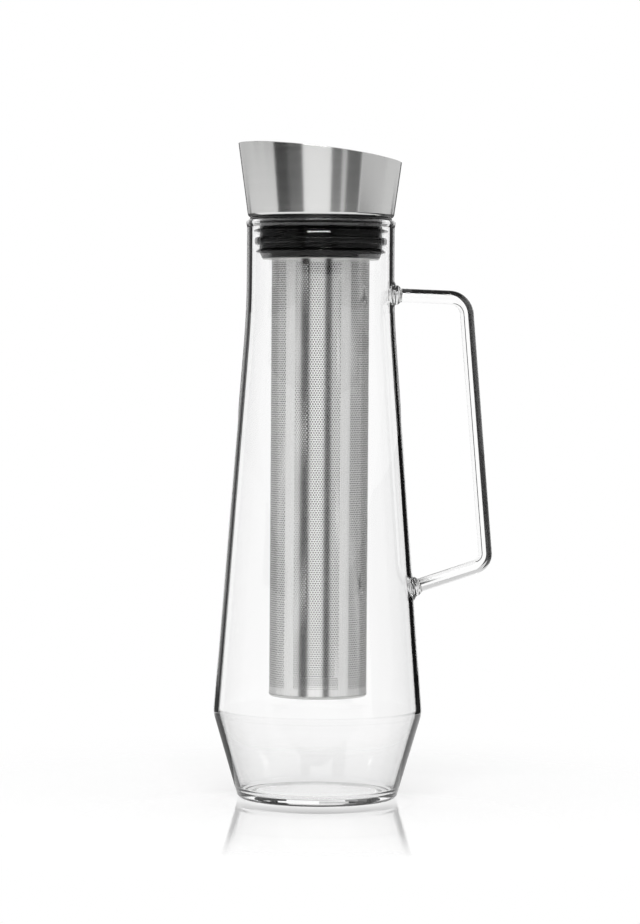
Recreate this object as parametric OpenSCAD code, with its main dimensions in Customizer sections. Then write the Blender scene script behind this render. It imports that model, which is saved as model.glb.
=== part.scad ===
// Cold brew carafe: a blown glass bottle with a rod handle, a steel pouring collar on a
// silicone stopper, and a long perforated steel filter that hangs from the stopper.
// Millimetres. Z is up, the origin is on the bottle's axis at the level it stands on.
// The handle is on the +X side and the pouring lip on the -X side.

/* [Glass body] */
// Height of the bottle from the table to the glass rim
body_h = 274.5; // [250:0.5:300]
// Outer diameter of the straight neck
neck_d = 70; // [64:0.5:76]
// Outer diameter at the shoulder edge, before it is rounded
shoulder_d = 99.4; // [90:0.5:110]
// Height of the shoulder edge
shoulder_z = 40.7; // [34:0.1:50]
// Outer diameter at the table, before the corner is rounded
foot_d = 75.4; // [68:0.2:84]
// Distance from the rim down to the end of the straight neck
neck_len = 42.5; // [40:0.5:60]
// Thickness of the blown wall
wall = 2.5; // [2:0.1:3]
// Thickness of the floor
floor_t = 3.4; // [3:0.1:6]
// Width of the flat ring that it stands on
stand_w = 4; // [2:0.1:8]
// Height of the hollow under the floor
stand_hollow = 0.8; // [0.4:0.1:1.6]
// Rounding where the neck runs into the taper
neck_blend = 420; // [150:10:600]
// Rounding of the shoulder edge
shoulder_round = 10; // [4:0.5:16]
// Rounding at the table
foot_round = 2.5; // [1.5:0.1:4]
// Rounding of the floor inside
floor_round = 4; // [2:0.1:6]
// Rounding of the fire-polished rim
rim_round = 0.8; // [0.4:0.1:1]

/* [Handle] */
// Diameter of the glass rod
rod_d = 6.5; // [4.5:0.1:8]
// Distance from the rim down to the upper bar, at the neck
handle_drop = 35.1; // [30:0.1:44]
// Fall of the upper bar towards the outside, in degrees
upper_fall = 2; // [0:0.1:6]
// Reach of the upper corner from the bottle's axis
upper_reach = 69; // [62:0.2:80]
// Lean of the grip, in degrees
grip_lean = 4.83; // [3:0.01:6.5]
// Height of the lower bar, at the bottle
lower_z = 100.4; // [85:0.2:120]
// Rise of the lower bar towards the outside, in degrees
lower_rise = 18.7; // [10:0.1:26]
// Radius of the upper bend, at the middle of the rod
upper_bend = 8.6; // [6:0.1:12]
// Radius of the lower bend, at the middle of the rod
lower_bend = 6.5; // [5:0.1:10]
// How much thicker the rod is in its bends than in its straight runs
bend_swell = 0.05; // [0.04:0.01:0.3]
// Diameter of a weld where it spreads on the bottle
weld_foot_d = 12.6; // [10:0.1:15]
// Diameter of the bead round a weld
weld_bead_d = 9.2; // [8.4:0.1:9.8]
// Distance from the bottle to the middle of that bead
weld_bead_at = 1.4; // [1:0.1:1.8]
// Width of that bead
weld_bead_w = 1; // [0.6:0.1:1.4]
// Depth of the groove on each side of that bead
weld_groove = 0.3; // [0.1:0.05:0.5]
// Length of a weld from the bottle to the rod
weld_len = 3.4; // [2.6:0.1:5]

/* [Gasket] */
// Thickness of the flange on the glass rim
flange_t = 1; // [0.6:0.1:1.6]
// How far the flange's edge lies inside the outside of the neck
flange_inset = 1.3; // [1:0.1:1.6]
// Gap between the upper fin and the glass
upper_fin_gap = 0.7; // [0.4:0.1:1]
// Gap between the rib and the glass
rib_gap = 1.1; // [0.5:0.1:1.6]
// Gap between the lower fin and the glass
lower_fin_gap = 1.8; // [1:0.1:2.4]
// Depth from the glass down to the gasket's root, between the fins
root_depth = 3.4; // [2.8:0.1:4]
// Step in from the root to the foot
foot_step = 1; // [0.6:0.1:1.2]
// Wall of the gasket at its root
gasket_wall = 1.75; // [1.5:0.05:2.2]
// Distance from the rim down to the tip of the upper fin
upper_fin_drop = 5.3; // [4.6:0.1:5.8]
// Distance from the rim down to the middle of the rib
rib_drop = 10.1; // [9.8:0.1:10.6]
// Distance from the rim down to the tip of the lower fin
lower_fin_drop = 14.9; // [14.4:0.1:15.3]
// Distance from the rim down to the foot
gasket_depth = 18; // [17.6:0.1:20]
// Height of the rib
rib_h = 3.4; // [2.6:0.1:3.6]
// Rounding of the rib's edges
rib_round = 1.1; // [0.4:0.1:1.1]
// Thickness of a fin at its root
fin_t = 1.2; // [0.8:0.1:1.6]
// Thickness of a fin at its tip
fin_tip_t = 0.6; // [0.3:0.05:0.7]

/* [Pouring collar] */
// Sheet thickness of the collar and of the floor inside it
sheet_t = 0.8; // [0.6:0.05:1]
// How far the collar's lower edge lies inside the outside of the neck
collar_inset = 0.5; // [0.3:0.05:1.6]
// Flare of the collar's side, in degrees
collar_flare = 7.6; // [5:0.02:11]
// Height of the collar at its axis
collar_h = 32; // [27:0.1:38]
// Slant of the rim, in degrees, highest at the pouring lip
rim_slant = 6.45; // [3:0.05:9]
// Height that the middle of the rim stands above the line between its ends
rim_bow = 0.8; // [0.4:0.1:2]
// Rounding of the lower edge
collar_round = 2; // [1.2:0.1:2.4]
// Width of the floor's ledge, from the stopper's bore in to the pour hole
ledge_w = 6; // [4.5:0.1:7]
// Height of the floor's turned-up edge
floor_lip_h = 3; // [2:0.1:5]
// Gap between the floor's turned-up edge and the collar
floor_gap = 0.1; // [0.05:0.05:0.3]

/* [Stopper core] */
// Wall of the core's tube
core_wall = 2.2; // [1.6:0.1:2.6]
// Thickness of the core's flange
core_flange_t = 1.5; // [1:0.1:2]
// How far the core's flange reaches past its tube
core_flange_w = 4.4; // [3:0.1:4.6]
// Gap between the core and the gasket that it turns in
turn_gap = 0.15; // [0.1:0.01:0.2]
// Gap between the core's end and the filter's rim
core_end_gap = 0.4; // [0.3:0.1:1]

/* [Flap] */
// Thickness of the flap
flap_t = 1; // [0.8:0.1:1.4]
// How far the flap reaches past the pour hole
flap_overlap = 4.5; // [3.5:0.1:5]
// Thickness of the soft ring under the flap
flap_seal_t = 1.4; // [1:0.1:1.6]
// Inset of the soft ring from the edge of the flap
flap_seal_inset = 1; // [0.5:0.1:1.5]
// Width of the soft ring
flap_seal_w = 5.5; // [4.5:0.1:6.5]
// Distance from the flap's edge to the hinge pin
pin_setback = 3; // [2.8:0.1:3.2]
// Diameter of the hinge pin
pin_d = 2; // [1.6:0.1:2.2]
// Radial play of the flap on the hinge pin
pin_play = 0.05; // [0.02:0.01:0.1]
// Outer diameter of the flap's hinge barrel
barrel_d = 3.8; // [3.6:0.1:4.2]
// Length of the flap's hinge barrel
barrel_l = 11.2; // [8:0.2:12]
// Gap beside and under the hinge barrel
barrel_gap = 0.4; // [0.3:0.05:0.6]
// Width of the bracket's wing outside each ear
wing_w = 2.7; // [2.6:0.1:3]
// Diameter of a bracket screw
screw_d = 1.8; // [1.4:0.1:2]
// Diameter of a bracket screw's head
screw_head_d = 2.4; // [2.2:0.1:2.5]
// Height of a bracket screw's head
screw_head_h = 0.7; // [0.5:0.1:1]
// Distance from the hinge pin back to the hanging weight
weight_setback = 16; // [14:0.5:18]
// Diameter of the hanging weight
weight_d = 14; // [10:0.5:15]
// Height of the hanging weight
weight_h = 14; // [10:0.5:16]
// Distance from the flap down to the weight
weight_drop = 10; // [8:0.5:12]
// Diameter of the stem that carries the weight
stem_d = 4; // [3:0.1:5]
// Diameter of the nut under the weight
nut_d = 7; // [6:0.1:9]
// Height of the nut under the weight
nut_h = 2.5; // [2:0.1:4]

/* [Filter] */
// Outer diameter of the perforated tube
filter_d = 46.6; // [42:0.2:48]
// Sheet thickness of the tube
tube_t = 0.4; // [0.3:0.05:0.6]
// Clear height between the bottle's floor and the filter
filter_clear = 45.3; // [42:0.1:80]
// Number of perforated panels round the tube
panel_n = 5; // [3:1:8]
// Turn of the panels about the axis, in degrees, from one that faces the front
panel_turn = -2.6; // [-36:0.2:36]
// Width of the plain strip between two panels
strip_w = 5.3; // [3:0.1:8]
// Width of the plain strip with the seam, at the back
seam_w = 14.6; // [6:0.2:24]
// Plain band above the panels
top_band = 1.6; // [1:0.1:8]
// Plain band below the panels
bottom_band = 3.3; // [2:0.1:10]
// Depth of a panel's etched field
panel_depth = 0.1; // [0.05:0.01:0.15]
// Sheet thickness of the rim ring and of the end cap
rim_t = 0.7; // [0.5:0.05:1]
// Inset of the rim's flange from the gasket's foot
rim_inset = 0.5; // [0.2:0.1:1]
// Height of the rim's collar that plugs into the core
plug_h = 8; // [5:0.2:12]
// Gap between the rim's collar and the core
plug_gap = 0.3; // [0.2:0.05:0.5]
// Height of the end cap under the tube
cap_h = 1.5; // [1.2:0.1:3]
// Rounding of the end cap's edge
cap_round = 1.1; // [0.6:0.1:1.1]
// Height of the end cap's skirt inside the tube
skirt_h = 5; // [3:0.2:8]
// Gap between the end cap's skirt and the tube
skirt_gap = 0.05; // [0.02:0.01:0.1]

/* [Hidden] */
$fn = 96;

// Steps in which a rounded corner of an outline is turned
arc_steps = 6;
// Share of a straight side that the rounding of one of its corners may take up
side_share = 0.49;
// Room that a cutting shape reaches past what it cuts
past = 1;
// How far a straight run of the rod reaches into a bend, so that the two are one solid
bend_lap = 0.4;
// Clearance of a screw in a sheet that it passes through
loose_gap = 0.05;
// Clearance of a screw, a pin or a stem in what grips it
tight_gap = 0.02;

// The bottle
neck_r = neck_d / 2;
shoulder_r = shoulder_d / 2;
foot_r = foot_d / 2;
neck_in_r = neck_r - wall;
taper_z = body_h - neck_len;
taper_a = atan((shoulder_r - neck_r) / (taper_z - shoulder_z));
foot_a = atan((shoulder_r - foot_r) / shoulder_z);
taper_in_z = taper_z - wall * tan(taper_a / 2);
shoulder_in_z = (neck_r + taper_z * tan(taper_a) - foot_r + wall / cos(foot_a) - wall / cos(taper_a))
                / (tan(taper_a) + tan(foot_a));
shoulder_in_r = foot_r + shoulder_in_z * tan(foot_a) - wall / cos(foot_a);
floor_in_r = foot_r + floor_t * tan(foot_a) - wall / cos(foot_a);
stand_in_r = foot_r - foot_round - stand_w;
hollow_r = stand_in_r - 2 * stand_hollow;

// The handle, as points in the plane through the bottle's axis
upper_z = body_h - handle_drop;
upper_root = [bottle_r(upper_z), upper_z];
upper_corner = [upper_reach, upper_z - (upper_reach - upper_root.x) * tan(upper_fall)];
lower_root = [bottle_r(lower_z), lower_z];
grip_way = [sin(grip_lean), -cos(grip_lean)];
lower_way = [cos(lower_rise), sin(lower_rise)];
grip_len = cross(lower_root - upper_corner, lower_way) / cross(grip_way, lower_way);
lower_corner = upper_corner + grip_len * grip_way;
upper_start = upper_root + weld_len * unit(upper_corner - upper_root);
lower_start = lower_root + weld_len * lower_way;
weld_sink = 2 * wall;

// The gasket and the core that turns in it
root_r = neck_in_r - root_depth;
gasket_foot_r = root_r - foot_step;
gasket_bore_r = root_r - gasket_wall;
gasket_foot_z = body_h - gasket_depth;
collar_z = body_h + flange_t;
core_r = gasket_bore_r - turn_gap;
core_in_r = core_r - core_wall;
core_flange_z = collar_z + sheet_t;
floor_z = core_flange_z + core_flange_t;
seat_z = floor_z + sheet_t;

// The collar
collar_r = neck_r - collar_inset;
rim_z = collar_z + collar_h;
bow_r = (collar_r * collar_r / rim_bow + rim_bow) / 2;
blank_h = collar_h + 2 * collar_r * tan(rim_slant);
pour_r = core_in_r - ledge_w;

// The flap and its hinge
flap_r = pour_r + flap_overlap;
flap_z = seat_z + flap_seal_t;
pin_x = flap_r + pin_setback;
barrel_z = seat_z + sheet_t + barrel_gap + barrel_d / 2;
ear_y = barrel_l / 2 + barrel_gap;
ear_r = barrel_d / 2 + barrel_gap;
bracket_y = ear_y + sheet_t + wing_w;
bracket_x = flap_r + sheet_t;
bracket_l = pin_x + ear_r + sheet_t - bracket_x;
screw_y = bracket_y - wing_w / 2;
screw_z = core_flange_z + sheet_t / 2;
weight_x = pin_x - weight_setback;
weight_z = flap_z - weight_drop - weight_h;

// The filter
tube_r = filter_d / 2;
tube_in_r = tube_r - tube_t;
plug_r = core_in_r - plug_gap;
rim_r = gasket_foot_r - rim_inset;
rim_in_r = min(tube_in_r, plug_r - rim_t);
rim_foot_z = gasket_foot_z - rim_t;
cap_z = floor_t + filter_clear;
tube_z = cap_z + cap_h;
tube_l = rim_foot_z - tube_z;
strip_a = strip_w / tube_r * 180 / PI;
seam_a = seam_w / tube_r * 180 / PI;
panel_a = (360 - seam_a - (panel_n - 1) * strip_a) / panel_n;
panel_h = tube_l - top_band - bottom_band;

// Outer radius of the bottle at a height, from its straight lines
function bottle_r(z) = z > taper_z ? neck_r
    : z > shoulder_z ? neck_r + (taper_z - z) * tan(taper_a)
    : foot_r + z * tan(foot_a);

// Outer radius of the collar at a height
function collar_out_r(z) = collar_r + (z - collar_z) * tan(collar_flare);

// Inner radius of the collar at a height
function collar_in_r(z) = collar_out_r(z) - sheet_t / cos(collar_flare);

function unit(v) = v / norm(v);

// Radius that fits a corner whose arms meet at twice the half angle
function fitting(r, half, arm) = min(r, side_share * arm * tan(half));

// Arc that rounds the corner q between p and s
function corner_arc(p, q, s, r) =
    let (u = unit(p - q))
    let (w = unit(s - q))
    let (half = acos(max(-1, min(1, u * w))) / 2)
    let (fit = fitting(r, half, min(norm(p - q), norm(s - q))))
    let (centre = q + unit(u + w) * fit / sin(half))
    let (start = q + u * fit / tan(half) - centre)
    let (end = q + w * fit / tan(half) - centre)
    let (turn = atan2(cross(start, end), start * end))
    let (from = atan2(start.y, start.x))
    [for (i = [0 : arc_steps])
        let (a = from + turn * i / arc_steps)
        centre + fit * [cos(a), sin(a)]];

// Closed outline from corners given as [radius, height, rounding]
function outline(corners) =
    let (n = len(corners))
    let (at = [for (c = corners) [c[0], c[1]]])
    [for (i = [0 : n - 1])
        let (before = at[(i + n - 1) % n])
        let (after = at[(i + 1) % n])
        each corners[i][2] > 0 ? corner_arc(before, at[i], after, corners[i][2]) : [at[i]]];

// The outside of the bottle, from the stand ring up to the rim
function bottle_outside() = [
    [foot_r, 0, foot_round],
    [shoulder_r, shoulder_z, shoulder_round],
    [neck_r, taper_z, neck_blend],
    [neck_r, body_h, rim_round]];

// The inside of the bottle, from the rim down to the floor
function bottle_inside() = [
    [neck_in_r, body_h, rim_round],
    [neck_in_r, taper_in_z, neck_blend],
    [shoulder_in_r, shoulder_in_z, shoulder_round],
    [floor_in_r, floor_t, floor_round],
    [0, floor_t, 0]];

// The hollow under the floor, from the axis out to the stand ring
function bottle_stand() = [
    [0, stand_hollow, 0],
    [hollow_r, stand_hollow, 0],
    [stand_in_r, 0, 0]];

module turned(corners) {
    rotate_extrude()
        polygon(outline(corners));
}

// The bottle filled solid, which the welds are cut to
module bottle_block() {
    turned(concat([[0, 0, 0]], bottle_outside(), [[0, body_h, 0]]));
}

// Straight run of rod between two points of the handle's plane
module rod_run(p, q) {
    translate([p.x, 0, p.y])
        rotate([0, atan2(q.x - p.x, q.y - p.y), 0])
            cylinder(d = rod_d, h = norm(q - p));
}

// Distance from a corner of the handle to where its bend starts
function bend_start(p, q, s, r) = r / tan(acos(unit(p - q) * unit(s - q)) / 2);

// Bend of the rod at the corner q between p and s
module rod_bend(p, q, s, r) {
    u = unit(p - q);
    w = unit(s - q);
    half = acos(u * w) / 2;
    centre = q + unit(u + w) * r / sin(half);
    start = q + u * r / tan(half) - centre;
    end = q + w * r / tan(half) - centre;
    turn = atan2(cross(end, start), start * end);
    translate([centre.x, 0, centre.y])
        rotate([90, 0, 0])
            rotate([0, 0, atan2(end.y, end.x)])
                rotate_extrude(angle = turn)
                    translate([r, 0])
                        circle(d = rod_d + bend_swell);
}

// Gather of glass at a root of the handle, spread on the bottle and beaded before the rod
module weld(root, way) {
    difference() {
        translate([root.x, 0, root.y])
            rotate([0, atan2(way.x, way.y), 0])
                turned([
                    [0, -weld_sink, 0],
                    [weld_foot_d / 2, -weld_sink, 0],
                    [weld_foot_d / 2, 0, 0],
                    [weld_bead_d / 2 - weld_groove, weld_bead_at - weld_bead_w / 2, 0],
                    [weld_bead_d / 2, weld_bead_at, weld_groove],
                    [weld_bead_d / 2 - weld_groove, weld_bead_at + weld_bead_w / 2, 0],
                    [rod_d / 2, weld_len, 0],
                    [0, weld_len, 0]]);
        bottle_block();
    }
}

module glass_body() {
    color([0.86, 0.93, 0.93, 0.4])
        turned(concat(bottle_stand(), bottle_outside(), bottle_inside()));
}

module handle_rod() {
    upper_t = bend_start(upper_root, upper_corner, lower_corner, upper_bend) - bend_lap;
    lower_t = bend_start(upper_corner, lower_corner, lower_root, lower_bend) - bend_lap;
    color([0.82, 0.91, 0.91, 0.5]) {
        rod_run(upper_start, upper_corner - upper_t * unit(upper_corner - upper_root));
        rod_bend(upper_root, upper_corner, lower_corner, upper_bend);
        rod_run(upper_corner + upper_t * grip_way, lower_corner - lower_t * grip_way);
        rod_bend(upper_corner, lower_corner, lower_root, lower_bend);
        rod_run(lower_start, lower_corner - lower_t * lower_way);
    }
}

module upper_weld() {
    color([0.82, 0.91, 0.91, 0.5])
        weld(upper_root, unit(upper_corner - upper_root));
}

module lower_weld() {
    color([0.82, 0.91, 0.91, 0.5])
        weld(lower_root, lower_way);
}

module seal_gasket() {
    upper_fin_r = neck_in_r - upper_fin_gap;
    rib_r = neck_in_r - rib_gap;
    lower_fin_r = neck_in_r - lower_fin_gap;
    upper_fin_z = body_h - upper_fin_drop;
    rib_z = body_h - rib_drop;
    lower_fin_z = body_h - lower_fin_drop;
    color([0.06, 0.06, 0.06])
        turned([
            [gasket_bore_r, gasket_foot_z, 0],
            [gasket_foot_r, gasket_foot_z, 0],
            [gasket_foot_r, gasket_foot_z + fin_tip_t, 0],
            [root_r, lower_fin_z - fin_tip_t / 2, 0],
            [lower_fin_r, lower_fin_z - fin_tip_t, 0],
            [lower_fin_r, lower_fin_z, 0],
            [root_r, lower_fin_z + fin_t, 0],
            [root_r, rib_z - rib_h / 2, 0],
            [rib_r, rib_z - rib_h / 2, rib_round],
            [rib_r, rib_z + rib_h / 2, rib_round],
            [root_r, rib_z + rib_h / 2, 0],
            [root_r, upper_fin_z - fin_tip_t, 0],
            [upper_fin_r, upper_fin_z - fin_tip_t / 2, 0],
            [upper_fin_r, upper_fin_z + fin_tip_t / 2, 0],
            [root_r, upper_fin_z + fin_t, 0],
            [root_r, body_h, 0],
            [neck_r - flange_inset, body_h, 0],
            [neck_r - flange_inset, collar_z, 0],
            [gasket_bore_r, collar_z, 0]]);
}

module pour_collar() {
    top_z = collar_z + blank_h;
    cut_r = 2 * collar_r;
    color([0.72, 0.72, 0.71])
        intersection() {
            turned([
                [gasket_bore_r, collar_z, 0],
                [collar_r, collar_z, collar_round],
                [collar_out_r(top_z), top_z, 0],
                [collar_in_r(top_z), top_z, 0],
                [collar_in_r(core_flange_z), core_flange_z, collar_round - sheet_t],
                [gasket_bore_r, core_flange_z, 0]]);
            translate([0, 0, rim_z])
                rotate([0, rim_slant, 0])
                    translate([0, cut_r, -bow_r])
                        rotate([90, 0, 0])
                            cylinder(r = bow_r, h = 2 * cut_r);
        }
}

module stopper_core() {
    color([0.1, 0.1, 0.11])
        difference() {
            turned([
                [core_in_r, gasket_foot_z + core_end_gap, 0],
                [core_r, gasket_foot_z + core_end_gap, 0],
                [core_r, core_flange_z, 0],
                [core_r + core_flange_w, core_flange_z, 0],
                [core_r + core_flange_w, floor_z, 0],
                [core_in_r, floor_z, 0]]);
            screw_holes(screw_z, floor_z, screw_d / 2 + tight_gap);
        }
}

module funnel_floor() {
    edge_r = collar_in_r(floor_z) - floor_gap;
    lip_r = collar_in_r(floor_z + floor_lip_h) - floor_gap;
    color([0.7, 0.7, 0.69])
        difference() {
            turned([
                [pour_r, floor_z, 0],
                [edge_r, floor_z, 0],
                [lip_r, floor_z + floor_lip_h, 0],
                [lip_r - sheet_t, floor_z + floor_lip_h, 0],
                [edge_r - sheet_t, seat_z, 0],
                [pour_r, seat_z, 0]]);
            screw_holes(floor_z, seat_z, screw_d / 2 + loose_gap);
        }
}

// Places of the two screws, one outside each ear of the bracket
module at_screws() {
    for (side = [-1, 1])
        translate([pin_x, side * screw_y, 0])
            children();
}

// Holes for the two screws, from one height up through another
module screw_holes(from_z, to_z, r) {
    at_screws()
        translate([0, 0, from_z - tight_gap])
            cylinder(r = r, h = to_z - from_z + past);
}

// A pin of one radius along the hinge axis
module hinge_rod(r, l) {
    translate([pin_x, l / 2, barrel_z])
        rotate([90, 0, 0])
            cylinder(r = r, h = l);
}

module hinge_bracket() {
    color([0.66, 0.66, 0.65])
        difference() {
            union() {
                translate([bracket_x, -bracket_y, seat_z])
                    cube([bracket_l, 2 * bracket_y, sheet_t]);
                for (side = [-1, 1])
                    ear(side);
            }
            hinge_rod(pin_d / 2 + tight_gap, 2 * bracket_y);
            screw_holes(seat_z, seat_z + sheet_t, screw_d / 2 + loose_gap);
        }
}

// Upright ear of the bracket, rounded over the pin
module ear(side) {
    translate([pin_x, side * (ear_y + sheet_t / 2), barrel_z])
        rotate([90, 0, 0])
            cylinder(r = ear_r, h = sheet_t, center = true);
    translate([pin_x - ear_r, side * (ear_y + sheet_t / 2) - sheet_t / 2, seat_z])
        cube([2 * ear_r, sheet_t, barrel_z - seat_z]);
}

module hinge_pin() {
    color([0.6, 0.6, 0.6])
        hinge_rod(pin_d / 2, 2 * (ear_y + sheet_t) + sheet_t);
}

module bracket_screws() {
    head_z = seat_z + sheet_t;
    color([0.6, 0.6, 0.6])
        at_screws() {
            translate([0, 0, screw_z])
                cylinder(d = screw_d, h = head_z - screw_z + screw_head_h / 2);
            translate([0, 0, head_z])
                cylinder(d = screw_head_d, h = screw_head_h);
        }
}

module flap_plate() {
    tab_x = flap_r - flap_seal_inset - flap_overlap / 2;
    color([0.74, 0.74, 0.73])
        difference() {
            union() {
                translate([0, 0, flap_z])
                    cylinder(r = flap_r, h = flap_t);
                translate([tab_x, -barrel_l / 2, flap_z])
                    cube([pin_x - tab_x, barrel_l, flap_t]);
                hinge_rod(barrel_d / 2, barrel_l);
            }
            hinge_rod(pin_d / 2 + pin_play, barrel_l + past);
        }
}

module flap_seal() {
    seal_r = flap_r - flap_seal_inset;
    color([0.08, 0.08, 0.08])
        translate([0, 0, seat_z])
            difference() {
                cylinder(r = seal_r, h = flap_seal_t);
                translate([0, 0, -past])
                    cylinder(r = seal_r - flap_seal_w, h = flap_seal_t + 2 * past);
            }
}

module flap_stem() {
    color([0.62, 0.62, 0.62])
        translate([weight_x, 0, weight_z - nut_h])
            cylinder(d = stem_d, h = flap_z - weight_z + nut_h);
}

// Round piece with a bore for the stem
module on_stem(d, from_z, h) {
    translate([weight_x, 0, from_z])
        difference() {
            cylinder(d = d, h = h);
            translate([0, 0, -past])
                cylinder(r = stem_d / 2 + tight_gap, h = h + 2 * past);
        }
}

module flap_weight() {
    color([0.55, 0.55, 0.55])
        on_stem(weight_d, weight_z, weight_h);
}

module stem_nut() {
    color([0.6, 0.6, 0.6])
        on_stem(nut_d, weight_z - nut_h, nut_h);
}

module filter_rim() {
    color([0.75, 0.75, 0.74])
        turned([
            [rim_in_r, rim_foot_z, 0],
            [rim_r, rim_foot_z, 0],
            [rim_r, gasket_foot_z, 0],
            [plug_r, gasket_foot_z, 0],
            [plug_r, gasket_foot_z + plug_h, 0],
            [plug_r - rim_t, gasket_foot_z + plug_h, 0],
            [plug_r - rim_t, gasket_foot_z, 0],
            [rim_in_r, gasket_foot_z, 0]]);
}

module filter_tube() {
    color([0.68, 0.68, 0.67])
        difference() {
            turned([
                [tube_in_r, tube_z, 0],
                [tube_r, tube_z, 0],
                [tube_r, rim_foot_z, 0],
                [tube_in_r, rim_foot_z, 0]]);
            for (i = [0 : panel_n - 1])
                rotate([0, 0, (panel_a + strip_a) * (i - (panel_n - 1) / 2) - panel_a / 2 + panel_turn - 90])
                    panel_field();
        }
}

// Etched field that one perforated panel takes up on the tube
module panel_field() {
    translate([0, 0, tube_z + bottom_band])
        rotate_extrude(angle = panel_a)
            translate([tube_r - panel_depth, 0])
                square([panel_depth + past, panel_h]);
}

module filter_base() {
    skirt_r = tube_in_r - skirt_gap;
    color([0.72, 0.72, 0.71])
        turned([
            [0, cap_z, 0],
            [tube_r, cap_z, cap_round],
            [tube_r, tube_z, 0],
            [skirt_r, tube_z, 0],
            [skirt_r, tube_z + skirt_h, 0],
            [skirt_r - rim_t, tube_z + skirt_h, 0],
            [skirt_r - rim_t, cap_z + rim_t, 0],
            [0, cap_z + rim_t, 0]]);
}

glass_body();
handle_rod();
upper_weld();
lower_weld();
seal_gasket();
pour_collar();
stopper_core();
funnel_floor();
hinge_bracket();
hinge_pin();
bracket_screws();
flap_plate();
flap_seal();
flap_stem();
flap_weight();
stem_nut();
filter_rim();
filter_tube();
filter_base();
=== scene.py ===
import math

import bmesh
import bpy
from mathutils import Matrix, Vector


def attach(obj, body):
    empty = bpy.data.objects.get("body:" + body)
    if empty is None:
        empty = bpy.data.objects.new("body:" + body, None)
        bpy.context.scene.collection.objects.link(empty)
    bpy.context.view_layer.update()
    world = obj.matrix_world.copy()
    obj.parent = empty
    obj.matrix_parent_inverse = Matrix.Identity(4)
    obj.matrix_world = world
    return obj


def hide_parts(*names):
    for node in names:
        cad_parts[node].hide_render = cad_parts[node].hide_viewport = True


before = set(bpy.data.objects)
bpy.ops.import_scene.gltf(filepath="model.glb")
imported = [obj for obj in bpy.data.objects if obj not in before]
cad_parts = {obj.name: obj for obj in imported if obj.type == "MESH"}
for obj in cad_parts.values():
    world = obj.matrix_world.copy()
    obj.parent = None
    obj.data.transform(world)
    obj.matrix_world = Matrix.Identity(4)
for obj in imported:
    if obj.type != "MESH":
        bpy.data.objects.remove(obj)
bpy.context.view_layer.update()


# The bottle: blown borosilicate glass with a straight neck, a long taper and a narrow foot.
# Its wall is 2.5 mm thick, its floor is thicker, and its rim is fire-polished to a small bead.
# The flame that fuses the handle on also pushes the wall in a little behind each root.
MM = 0.001
BOTTLE_SIDES = 256
WALL = 2.5
FLOOR_T = 3.4
FLOOR_ROUND = 4
NECK_R = 35.0
RIM_Z = 274.5
TAPER_TOP_Z = 232.0
SHOULDER_R = 49.67
SHOULDER_Z = 40.7
SHOULDER_ROUND = 10
FOOT_R = 37.7
HEEL_ROUND = 2.5
HOLLOW_DEPTH = 0.8
HOLLOW_R = 29.6
STAND_R = 31.2
STAND_ROUND = 1.2
NECK_BLEND_R = 420.0
BLEND_STEP = 2.0
BEAD = 0.3
STRAIGHT_BELOW, BEAD_BELOW, FULL_BEAD_BELOW = 4.4, 3.4, 2.2
ROOTS_Z = (239.4, 100.4)
ROOT_REACH = 14.0
ROOT_DENT = 1.0
DENT_R = 7
PLAIN_ROWS_Z = {70.0, 140.0, 170.0, 196.0, 260.0}
TAPER = math.atan((SHOULDER_R - NECK_R) / (TAPER_TOP_Z - SHOULDER_Z))
FOOT_LEAN = math.atan((SHOULDER_R - FOOT_R) / SHOULDER_Z)
BLEND_TOP_Z = TAPER_TOP_Z + NECK_BLEND_R * math.tan(TAPER / 2)
BLEND_FOOT_Z = BLEND_TOP_Z - NECK_BLEND_R * math.sin(TAPER)


def turn(name, corners, sides, closed=False):
    """Turn a piece as on a lathe: one ring is pulled through the corners, which are given in mm
    as (radius, height, rounding), and each corner that has a rounding is then bevelled.
    A first or last corner on the axis caps the piece, and a closed section ends where it began."""
    path = list(corners) + [corners[0]] * closed
    rings = [corner for corner in path if corner[0] > 0]
    bpy.ops.object.select_all(action="DESELECT")
    bpy.ops.mesh.primitive_circle_add(vertices=sides, radius=rings[0][0] * MM,
                                      location=(0, 0, rings[0][1] * MM))
    piece = bpy.context.active_object
    piece.name = piece.data.name = name
    bpy.ops.object.transform_apply(location=True, rotation=True, scale=True)
    bpy.ops.object.mode_set(mode="EDIT")
    bpy.ops.mesh.select_mode(type="EDGE")
    bpy.ops.mesh.select_all(action="SELECT")
    for (r0, z0, _), (r1, z1, _) in zip(rings, rings[1:]):
        bpy.ops.mesh.extrude_region_move(TRANSFORM_OT_translate={"value": (0, 0, (z1 - z0) * MM)})
        bpy.ops.transform.resize(value=(r1 / r0, r1 / r0, 1), center_override=(0, 0, z1 * MM))
    for end, ring in ((path[0], rings[0]), (path[-1], rings[-1])):
        if end[0] == 0:
            pick(piece, lambda point: on_ring(point, *ring[:2]))
            bpy.ops.mesh.edge_face_add()
    bpy.ops.mesh.select_all(action="SELECT")
    bpy.ops.mesh.remove_doubles(threshold=0.001 * MM)
    bpy.ops.mesh.normals_make_consistent(inside=False)
    for i, (r, z, rounding) in enumerate(corners):
        if rounding > 0:
            here = Vector((r, z))
            before = Vector(corners[i - 1][:2]) - here
            after = Vector(corners[(i + 1) % len(corners)][:2]) - here
            bend = math.pi - before.angle(after)
            pick(piece, lambda point: on_ring(point, r, z))
            bpy.ops.mesh.bevel(offset_type="OFFSET", offset=rounding * math.tan(bend / 2) * MM,
                               segments=max(4, round(math.degrees(bend) / 4)), profile=0.5,
                               affect="EDGES", clamp_overlap=False)
    bpy.ops.object.mode_set(mode="OBJECT")
    return piece


def on_ring(point, radius, height):
    """Whether a point lies on a ring round the axis, given in mm."""
    near = 0.005 * MM
    return abs(point.xy.length - radius * MM) < near and abs(point.z - height * MM) < near


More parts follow.
